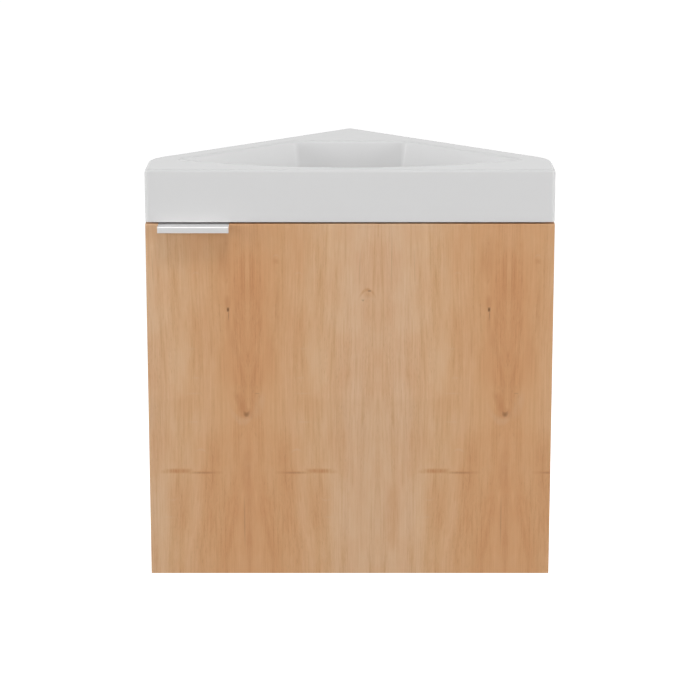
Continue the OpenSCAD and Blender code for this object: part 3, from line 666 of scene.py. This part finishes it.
def basinRings():
    top, bottom = basin["top"], basin["bottom"]
    floorTop = top - basin["depth"]
    drain = basin["drain"]
    draft, slope = basin["draft"], basin["floorSlope"]
    steps = 12

    def bowlRing(point, grow=0.0):
        return [(x, y, top - point[1]) for x, y in bowlOutline(point[0], grow)]

    def apronRing(inset, z):
        return [(x, y, z) for x, y in apronOutline(inset)]

    def circle(radius, z, like):
        ring = []
        for x, y, _ in like:
            dx, dy = x - drain[0], y - drain[1]
            size = radius / hypot(dx, dy)
            ring.append((drain[0] + dx * size, drain[1] + dy * size, z))
        return ring

    def blended(a, b, part):
        return [tuple(p + (q - p) * part for p, q in zip(u, v)) for u, v in zip(a, b)]

    angles = [draft + (90 - slope - draft) * i / steps for i in range(steps + 1)]
    inner = [bowlRing(filletPoint(a, 0)) for a in reversed(angles)]
    floorEdge = inner[0]
    drainEdge = circle(basin["drainRing"], floorTop, floorEdge)
    hole, seat, pad, nick = (basin[name] for name in (
        "holeRadius", "seatRadius", "padRadius", "nick"))
    seatFloor, under = floorTop - basin["seatDepth"], floorTop - basin["shell"]
    padFloor = under - basin["padDepth"]
    rings = [circle(radius, z, floorEdge) for radius, z in (
        (hole, padFloor), (hole, seatFloor - nick), (hole + nick, seatFloor),
        (seat, seatFloor), (seat, floorTop - nick), (seat + nick, floorTop))] + [drainEdge]
    rings += [blended(drainEdge, floorEdge, part) for part in (0.12, 0.3, 0.5, 0.7, 0.88)]
    rings += inner
    deepest = wallEnd()
    for part in (0.75, 0.5, 0.25, 0.08):
        d = basin["rimRound"] + (deepest - basin["rimRound"]) * part
        rings.append(bowlRing((wallLine(d), d)))
    r = basin["rimRound"]
    for angle in (90 - draft, 66, 54, 42, 30, 18, 8, 0):
        a = radians(angle)
        rings.append(bowlRing((r * sin(a), r * (1 - cos(a)))))
    r = basin["edgeRound"]
    for angle in (0, 8, 18, 30, 42, 54, 66, 78, 90):
        a = radians(angle)
        rings.append(apronRing(r * (1 - sin(a)), top - r * (1 - cos(a))))
    rings.append(apronRing(0, top - basin["edgeLoop"]))
    rings += [apronRing(inset, bottom + rise) for inset, rise in basin["footRings"]]
    inside, underDeck = basin["apronWall"], top - basin["deck"]
    rings += [apronRing(inside - basin["innerRound"], bottom),
              apronRing(inside, bottom + basin["innerRound"]),
              apronRing(inside, underDeck - basin["deckRound"]),
              apronRing(inside + basin["deckRound"], underDeck)]
    outerTop = (basin["rimRound"] - basin["shell"], basin["rimRound"])
    outerEnd = filletPoint(draft, basin["shell"])
    for d in (basin["deck"], *basin["shellLoops"]):
        part = (d - outerTop[1]) / (outerEnd[1] - outerTop[1])
        rings.append(bowlRing((outerTop[0] + (outerEnd[0] - outerTop[0]) * part, d),
                              basin["shell"]))
    rings += [bowlRing(filletPoint(a, basin["shell"]), basin["shell"]) for a in angles]
    return rings + [circle(radius, z, floorEdge) for radius, z in (
        (pad + 0.0015, under), (pad, under - 0.0010), (pad, padFloor + 0.0005),
        (pad - 0.0005, padFloor))]


casting = finished("basinCasting", closedStrip(basinRings()), "gelCoat", "root", "basin", "basin")
print("basin cast:", len(casting.data.polygons), "faces")


# ---- edge pull: a bent aluminium strip over the door's top edge

pull = {
    "start": -0.234, "end": -0.1475, "top": 0.4475, "back": -0.3205, "lip": -0.3565,
    "sheet": 0.0015, "leg": 0.024, "drop": 0.0075, "bend": 0.0012, "innerBend": 0.0005,
    "edge": 0.0002,
}


def bendPull():
    t, top, back, lip = pull["sheet"], pull["top"], pull["back"], pull["lip"]
    profile = [(back, -pull["leg"]), (back + t, -pull["leg"]), (back + t, 0), (lip, 0),
               (lip, -pull["drop"]), (lip + t, -pull["drop"]), (lip + t, -t), (back, -t)]
    length, near = pull["end"] - pull["start"], 1e-5
    mesh = extruded([(pull["start"], y, top + z) for y, z in profile], (length, 0, 0))

    def lengthwise(*places):
        return [e for e in mesh.edges if abs(e.verts[0].co.x - e.verts[1].co.x) > length / 2
                and any(abs(e.verts[0].co.y - y) < near and abs(e.verts[0].co.z - top - z) < near
                        for y, z in places)]
    bevelled(mesh, lengthwise((back + t, 0), (lip, 0)), pull["bend"], 6)
    bevelled(mesh, lengthwise((back, -t), (lip + t, -t)), pull["innerBend"], 3)
    return roundEdges(mesh, pull["edge"], 2, 60)


finished("edgePull", bendPull(), "satinAluminium", "door", "satin_aluminium", "handle")
print("edge pull bent")


# ---- waste: flange, plug, threaded tail and nut, all round the drain's axis

waste = {
    "place": (0, -0.2025, 0), "seat": 0.4235, "plug": 0.4262, "tailTop": 0.420,
    "tailEnd": 0.332, "socket": 0.0176, "socketEnd": 0.380, "outlet": 0.0165,
    "crest": 0.020955, "root": 0.0196, "pitch": 0.00231, "threads": 36, "lead": 0.0008,
    # where the crest starts and ends and the root is reached again, as shares of the pitch
    "flanks": (0.40, 0.52, 0.92), "band": 0.0012,
    "nutBottom": 0.4005, "nutTop": 0.4095, "collar": 0.0290, "collarHeight": 0.002,
    "halfFlats": 0.027, "nutFace": 0.0262, "nutNick": 0.0003,
    # where the turned corners start, and how far out and up they go
    "chamfer": (0.0272, 0.0040, 0.0023), "nutClearance": 0.00005,
    # the three arms that hold the guide: size, middle, angles
    "arm": (0.0105, 0.0025, 0.005), "armPlace": (0.01125, -0.0195), "armTurns": (30, 150, 270),
}
drainAxis = Matrix.Translation(waste["place"])


def raised(profile, base):
    # a profile in millimetres, set at a height in metres
    return [(radius / perMetre, base + height / perMetre) for radius, height in profile]


def turnPlug():
    dome = [(28.5 * cos(radians(a)), 1 + 4.5 * sin(radians(a))) for a in range(0, 96, 6)]
    profile = [(0, -34), (3, -34), (4, -33), (4, -4), (13, -4), (14.5, -3), (14.5, 0),
               (27, 0), (28.1, 0.3)] + dome[:-1] + [(0, 5.5)]
    return joined(bmesh.new(), lathe(raised(profile, waste["plug"]), 96, False), drainAxis)


def turnFlange():
    profile = [(15.5, -26), (17.5, -26), (17.5, -1), (18.5, 0), (32.3, 0), (32.5, 0.2),
               (32.5, 1.0), (32.3, 1.6), (31.8, 2.1), (31.0, 2.4), (30.0, 2.5), (25.4, 2.5),
               (24.0, 2.4), (22.5, 2.1), (20.8, 1.6), (19.0, 0.9), (17.4, 0), (16.3, -0.9),
               (15.6, -1.8)]
    mesh = joined(bmesh.new(), lathe(raised(profile, waste["seat"]), 96), drainAxis)
    guide = [(4.05, -24), (6.2, -24), (6.5, -23.7), (6.5, -15.3), (6.2, -15), (4.05, -15)]
    joined(mesh, lathe(raised(guide, waste["seat"]), 32), drainAxis)
    arm = block(waste["arm"])
    out, rise = waste["armPlace"]
    bmesh.ops.translate(arm, verts=arm.verts, vec=(out, 0, waste["seat"] + rise))
    roundEdges(arm, 0.0004, 2)
    return joined(mesh, arm, *[drainAxis @ Matrix.Rotation(radians(a), 4, "Z")
                               for a in waste["armTurns"]])


def turnTail():
    # rings one below the other, so closely spaced that they read as a thread
    top, pitch, end, lead = (waste[name] for name in ("tailTop", "pitch", "tailEnd", "lead"))
    crest, root = waste["crest"], waste["root"]
    outside = [(root, end), (root, end + lead)]
    for i in range(waste["threads"]):
        outside += [(radius, end + lead + pitch * i + pitch * part)
                    for radius, part in zip((crest, crest, root), waste["flanks"])]
    outside += [(crest, top - waste["band"]), (crest, top)]
    inside = [(waste["socket"], top), (waste["socket"], waste["socketEnd"]),
              (waste["outlet"], waste["socketEnd"] - 0.0006), (waste["outlet"], end)]
    return joined(bmesh.new(), lathe(outside + inside, 72), drainAxis)


def cutNut():
    # six flats under a round collar, with the corners turned off below
    count, slices = 96, 4

    def flats(height, limit=1.0):
        ring = []
        for a in fullTurn(count):
            across = a % (pi / 3) - pi / 6
            radius = min(waste["halfFlats"] / cos(across), limit)
            ring.append((radius * cos(a), radius * sin(a), height))
        return ring
    low, high, collar, nick = (waste[name] for name in (
        "nutBottom", "nutTop", "collar", "nutNick"))
    shoulder = high - waste["collarHeight"]
    bore, boreNick = waste["crest"] + waste["nutClearance"], 0.0006
    start, out, up = waste["chamfer"]
    rings = [circlePoints(radius, z, count) for radius, z in (
        (bore, low + boreNick), (bore + boreNick, low), (waste["nutFace"], low))]
    rings += [flats(low + nick + up * k / slices, start + out * k / slices)
              for k in range(slices + 1)]
    rings.append(flats(shoulder))
    rings += [circlePoints(radius, z, count) for radius, z in (
        (collar - nick, shoulder), (collar, shoulder + nick), (collar, high - nick),
        (collar - nick, high), (bore, high))]
    return joined(bmesh.new(), closedStrip(rings), drainAxis)


finished("drainPlug", turnPlug(), "chrome", "plug", "chrome", "waste_plug")
finished("drainFlange", turnFlange(), "chrome", "root", "chrome", "waste_flange")
finished("drainTail", turnTail(), "nickel", "root", "brass_nickel", "waste_body")
finished("drainNut", cutNut(), "nickel", "root", "brass_nickel", "waste_nut")
print("waste turned")


# ---- screws: a cross recess in every head, each screw where the frame has it

screws = {
    # node: body, head radius, heights of the head's rim and crown, depth below, shank, length
    "carcass_screws": ("root", 0.0050, 0.0, 0.0, 0.0031, 0.0025, 0.0480),
    "handle_screws": ("door", 0.0030, 0.0, 0.0, 0.0015, 0.00145, 0.0130),
    "hinge_cup_screws": ("door", 0.0032, 0.0009, 0.0019, 0.0, 0.00145, 0.0120),
    "hinge_plate_screws": ("root", 0.0036, 0.0009, 0.0019, 0.0, 0.0017, 0.0110),
    "hinge_arm_screws": ("root", 0.0036, 0.0009, 0.0019, 0.0, 0.0019, 0.0065),
}


def crossPoints(reach, width, height):
    quarter = [(reach, 0), (reach, width), ((reach + width) / 2, width), (width, width),
               (width, (reach + width) / 2), (width, reach)]
    ring = []
    for x, y in ((1, 0), (0, 1), (-1, 0), (0, -1)):
        ring += [(a * x - b * y, a * y + b * x, height) for a, b in quarter]
    return ring


def crossScrew(head, rim, crown, sink, shank, length):
    reach, width, land = (head * share for share in (0.52, 0.15, 0.64))
    count, point, tip = 24, 0.002, shank * 0.35
    # shares of the recess's reach and width, and its depth in head radii
    rings = [crossPoints(reach * far, width * wide, crown - head * deep)
             for far, wide, deep in ((0.45, 0.5, 0.55), (0.94, 1, 0.10), (1, 1.15, 0))]
    rings.append(circlePoints(land, crown, count))
    if crown > 0:
        rings += [circlePoints(head * part, rim + (crown - rim) * rise, count)
                  for part, rise in ((0.78, 0.88), (0.90, 0.60), (0.97, 0.28), (1.0, 0.0))]
        rings += [circlePoints(head, 0.0001, count), circlePoints(head * 0.97, 0, count),
                  circlePoints(shank, 0, count)]
    else:
        rings += [circlePoints(head * 0.96, 0, count), circlePoints(head, -0.0002, count)]
        if sink > 0.002:
            rings.append(circlePoints(head, -0.0006, count))
        rings.append(circlePoints(shank, -sink, count))
    rings += [circlePoints(shank, point - length, count), circlePoints(tip, -length, count)]
    mesh = bmesh.new()
    for edges in growRings(mesh, rings):
        bmesh.ops.contextual_create(mesh, geom=edges)
    return mesh


def looseSolids(name):
    # the points of each separate solid of a CAD node
    mesh = bmesh.new()
    mesh.from_mesh(nodes[name].data)
    bmesh.ops.remove_doubles(mesh, verts=mesh.verts, dist=1e-6)
    left, solids = set(mesh.verts), []
    for first in list(mesh.verts):
        if first not in left:
            continue
        left.discard(first)
        reached, points = [first], []
        while reached:
            vert = reached.pop()
            points.append(vert.co.copy())
            nearby = [e.other_vert(vert) for e in vert.link_edges]
            reached += [v for v in nearby if v in left]
            left.difference_update(nearby)
        solids.append(points)
    mesh.free()
    return solids


def screwPlace(name, points, crown):
    def span(direction):
        reach = [p.dot(direction) for p in points]
        return min(reach), max(reach)

    def length(direction):
        low, high = span(direction)
        return high - low
    if name in ("handle_screws", "hinge_cup_screws"):
        outwards = Vector((0, 1, 0))
    elif name != "carcass_screws":
        outwards = Vector((-1, 0, 0))
    else:
        # the screws of the carcass point out of whichever face they were driven into
        side = 1 if sum(span(Vector((1, 0, 0)))) > 0 else -1
        ways = [Vector((side, 0, 0)), Vector(outOfRight), Vector(outOfLeft)]
        outwards = max(ways, key=length)
    across, up = Vector((-outwards.y, outwards.x, 0)), Vector((0, 0, 1))
    seat = (outwards * (span(outwards)[1] - crown) + across * sum(span(across)) / 2
            + up * sum(span(up)) / 2)
    # each screw stops at a turn of its own
    turn = seat.z * 900 + seat.x * 500
    return standing(seat, outwards) @ Matrix.Rotation(turn, 4, "Z")


for name, (body, head, rim, crown, sink, shank, length) in screws.items():
    solids = looseSolids(name)
    mesh = joined(bmesh.new(), crossScrew(head, rim, crown, sink, shank, length),
                  *[screwPlace(name, points, crown) for points in solids])
    first, *others = name.split("_")
    title = first + "".join(word.title() for word in others)
    finished(title, mesh, "zinc", body, "zinc", name)
    print(title, len(solids))


# ---- hinges: bent arms on stepped mounting plates

hinge = {
    "heights": (0.090, 0.322), "edge": (0.250, -0.3365),
    # all that follows is in millimetres from the door's back edge, at the hinge's height
    "sheet": 2.2, "armWidth": 12, "bendRound": 0.9, "webRound": 1.3, "plateRound": 0.4,
    "blockRound": 0.7, "cheekRound": 1.6, "edgeRound": 0.25,
    "path": [(-7, 6.6), (-15.2, 6.9), (-17.9, 8.6), (-18.5, 11.4), (-18.5, 21.5),
             (-24.3, 30.4), (-24.3, 34)],
    # middle, radius and width; face, start, end and half width; reach and thickness
    "eye": (-7, 7.8, 2.3, 9), "web": (-25.5, 30, 78, 9), "webWall": (6.4, 1.6),
    # face, middle, thickness, half width and reach; face, start, end and half width
    "plate": (-17, 56, 2, 7, 16), "block": (-23.3, 32, 76, 7),
    # middle; place, reach, radius and thickness; radius and turns where the ear meets the rim
    "cup": (-20.5, 16), "ear": (-30, 22.5, 5.5, 1), "flangeRing": 17.7,
    "ringTurns": (96.5, 147.7),
    # left, right, low and high; near and far face
    "cheek": (-10.4, -5.3, 4.4, 11.0), "cheekFaces": (6.6, 8.2),
}


def stripOutline(path, sheet):
    # both edges of a strip of even thickness, mitred where it bends
    edges = ([], [])
    for i, (x, y) in enumerate(path):
        before = path[max(i - 1, 0)], path[max(i, 1)]
        after = path[min(i, len(path) - 2)], path[min(i + 1, len(path) - 1)]
        a, b = (atan2(q[1] - p[1], q[0] - p[0]) for p, q in (before, after))
        size = sheet / 2 / cos((b - a) / 2)
        for edge, side in zip(edges, (1, -1)):
            edge.append((x - side * size * sin((a + b) / 2), y + side * size * cos((a + b) / 2)))
    return edges[0] + edges[1][::-1]


def bendArm():
    half = hinge["armWidth"] / 2
    mesh = extruded([(x, y, -half) for x, y in stripOutline(hinge["path"], hinge["sheet"])],
                    (0, 0, 2 * half))
    roundEdges(mesh, hinge["bendRound"], 4, 12, 80, lambda a, b: abs(a.z - b.z) > 1)
    roundEdges(mesh, hinge["edgeRound"], 2, 60)
    x, y, radius, width = hinge["eye"]
    eye = bmesh.new()
    bmesh.ops.create_cone(eye, cap_ends=True, segments=32, radius1=radius, radius2=radius,
                          depth=width)
    joined(mesh, roundEdges(eye, hinge["edgeRound"], 2), Matrix.Translation((x, y, 0)))
    x, low, high, half = hinge["web"]
    reach, wall = hinge["webWall"]
    sheet = hinge["sheet"]
    channel = [(x, low, -half), (x, low, half), (x + reach, low, half),
               (x + reach, low, half - wall), (x + sheet, low, half - wall),
               (x + sheet, low, wall - half), (x + reach, low, wall - half),
               (x + reach, low, -half)]
    web = extruded(channel, (0, high - low, 0))
    roundEdges(web, hinge["webRound"], 4, pick=lambda a, b: abs(a.y - b.y) > 1 and a.x < x + 0.1)
    roundEdges(web, 0.3, 2, 60)
    return joined(mesh, web, Matrix.Identity(4))


def pressPlate():
    x, y, thick, half, reach = hinge["plate"]
    outline = []
    for side, start in ((1, 0), (-1, 180)):
        outline += [(x - thick, y + half * cos(a), side * reach + half * sin(a))
                    for a in partTurn(start, start + 180, 16)]
    mesh = roundEdges(extruded(outline, (thick, 0, 0)), hinge["plateRound"], 3, 60)
    left, low, high, half = hinge["block"]
    riser = roundEdges(block((x - left, high - low, 2 * half)), hinge["blockRound"], 3)
    return joined(mesh, riser, Matrix.Translation(((x + left) / 2, (high + low) / 2, 0)))


def pressCup():
    x, y = hinge["cup"]
    profile = [(0, -12), (16.9, -12), (17.3, -11.8), (17.5, -11.4), (17.5, 0), (18.5, 0),
               (18.7, 0.2), (18.7, 0.7), (18.6, 0.9), (18.4, 1), (17.4, 1), (16.9, 0.8),
               (16.7, 0.3), (16.7, -10.2), (16.4, -10.9), (15.7, -11.2), (0, -11.2)]
    turned = Matrix.Translation((x, y, 0)) @ Matrix.Rotation(radians(-90), 4, "X")
    mesh = joined(bmesh.new(), lathe(profile, 72, False), turned)
    earX, earZ, radius, thick = hinge["ear"]
    ring = hinge["flangeRing"]
    outline = [(earX + radius * cos(a), y, earZ + radius * sin(a)) for a in partTurn(180, 0, 16)]
    outline += [(x + ring * cos(a), y, ring * sin(a))
                for a in partTurn(*hinge["ringTurns"], 10)]
    ear = roundEdges(extruded(outline, (0, thick, 0)), hinge["edgeRound"], 2, 60)
    flipped = Matrix.Scale(-1, 4, (0, 0, 1))
    joined(mesh, ear, Matrix.Identity(4), flipped)
    left, right, low, high = hinge["cheek"]
    near, far = hinge["cheekFaces"]
    cheek = extruded([(left, low, near), (right, low, near), (right, high, near),
                      (left, high, near)], (0, 0, far - near))
    roundEdges(cheek, hinge["cheekRound"], 4,
               pick=lambda a, b: abs(a.z - b.z) > 1 and a.y > low + 1)
    roundEdges(cheek, 0.2, 2, 60)
    return joined(mesh, cheek, Matrix.Identity(4), flipped)


hingePlaces = [Matrix.Translation((*hinge["edge"], z)) @ Matrix.Scale(1 / perMetre, 4)
               for z in hinge["heights"]]
for name, shape, body, node in (("hingeArms", bendArm(), "root", "hinge_arms"),
                                ("hingePlates", pressPlate(), "root", "hinge_plates"),
                                ("hingeCups", pressCup(), "door", "hinge_cups")):
    mesh = joined(bmesh.new(), shape, *hingePlaces)
    finished(name, mesh, "nickel", body, "nickel", node)
print("hinges bent")


# ---- stage: floor, world, lamps and camera

stage = {
    "floorZ": -0.345, "floorSize": 14.0, "floorGlow": 0.80, "ambient": 0.30,
    # name: place, size, power; lamps off the middle stand on both sides
    "lamps": {
        "sideBox": ((2.2, -0.85, 0.88), 1.0, 17.0),
        "frontBox": ((1.2, -2.6, 0.90), 1.0, 4.6),
        "rearBox": ((1.9, 1.75, 0.95), 1.0, 9.5),
        "topBox": ((0.0, -1.3, 2.5), 0.6, 12.6),
    },
    "aim": (0, -0.25, 0.3),
    # camera: focal length and sensor in millimetres, place, tilt in degrees, reach
    "lens": 135.06, "sensor": 36, "eye": (0, -3.487, 1.0495), "tilt": 76.437, "sight": 60,
}
white = (1, 1, 1, 1)


def layFloor():
    mesh = bmesh.new()
    bmesh.ops.create_grid(mesh, x_segments=1, y_segments=1, size=stage["floorSize"])
    bmesh.ops.translate(mesh, verts=mesh.verts, vec=(0, 0, stage["floorZ"]))
    data = bpy.data.meshes.new("studioFloor")
    mesh.to_mesh(data)
    mesh.free()
    tree, shader = newFinish("studioPaper")
    grain = noise(tree, coordinates(tree), scale=3)
    tree.links.new(ramp(tree, grain, [(0.3, (0.80, 0.80, 0.80)), (0.7, (0.82, 0.82, 0.82))]),
                   shader.inputs["Base Color"])
    shader.inputs["Roughness"].default_value = 1.0
    shader.inputs["Specular IOR Level"].default_value = 0.0
    seen = put(tree, "ShaderNodeLightPath").outputs["Is Camera Ray"]
    shader.inputs["Emission Color"].default_value = white
    tree.links.new(times(tree, seen, stage["floorGlow"]),
                   shader.inputs["Emission Strength"])
    data.materials.append(finishes["studioPaper"])
    floor = placed("studioFloor", data)


def lightWorld():
    world = bpy.data.worlds.new("studioWorld")
    world.use_nodes = True
    scene.world = world
    tree = world.node_tree
    plain = tree.nodes["Background"]
    plain.inputs["Color"].default_value = white
    plain.inputs["Strength"].default_value = stage["ambient"]
    bright = put(tree, "ShaderNodeBackground", {"Color": white, "Strength": 1.0})
    path = put(tree, "ShaderNodeLightPath").outputs
    seen = calc(tree, "MAXIMUM", path["Is Camera Ray"], calc(
        tree, "MAXIMUM", path["Is Glossy Ray"], path["Is Transmission Ray"]))
    both = put(tree, "ShaderNodeMixShader", {0: seen, 1: plain.outputs[0], 2: bright.outputs[0]})
    tree.links.new(both.outputs[0], tree.nodes["World Output"].inputs["Surface"])


def softbox(name, place, size, power):
    lamp = bpy.data.lights.new(name, "AREA")
    lamp.shape = "DISK"
    lamp.size = size
    lamp.energy = power
    placed(name, lamp).matrix_world = standing(place, Vector(place) - Vector(stage["aim"]))


layFloor()
lightWorld()
for name, ((x, y, z), size, power) in stage["lamps"].items():
    softbox(name + "Right" if x else name, (x, y, z), size, power)
    if x:
        softbox(name + "Left", (-x, y, z), size, power)

lens = bpy.data.cameras.new("photoCamera")
lens.lens = stage["lens"]
lens.sensor_width = stage["sensor"]
lens.clip_end = stage["sight"]
camera = placed("photoCamera", lens)
camera.location = stage["eye"]
camera.rotation_euler = (radians(stage["tilt"]), 0, 0)
scene.camera = camera
scene.view_settings.view_transform = "Standard"
print("stage set")
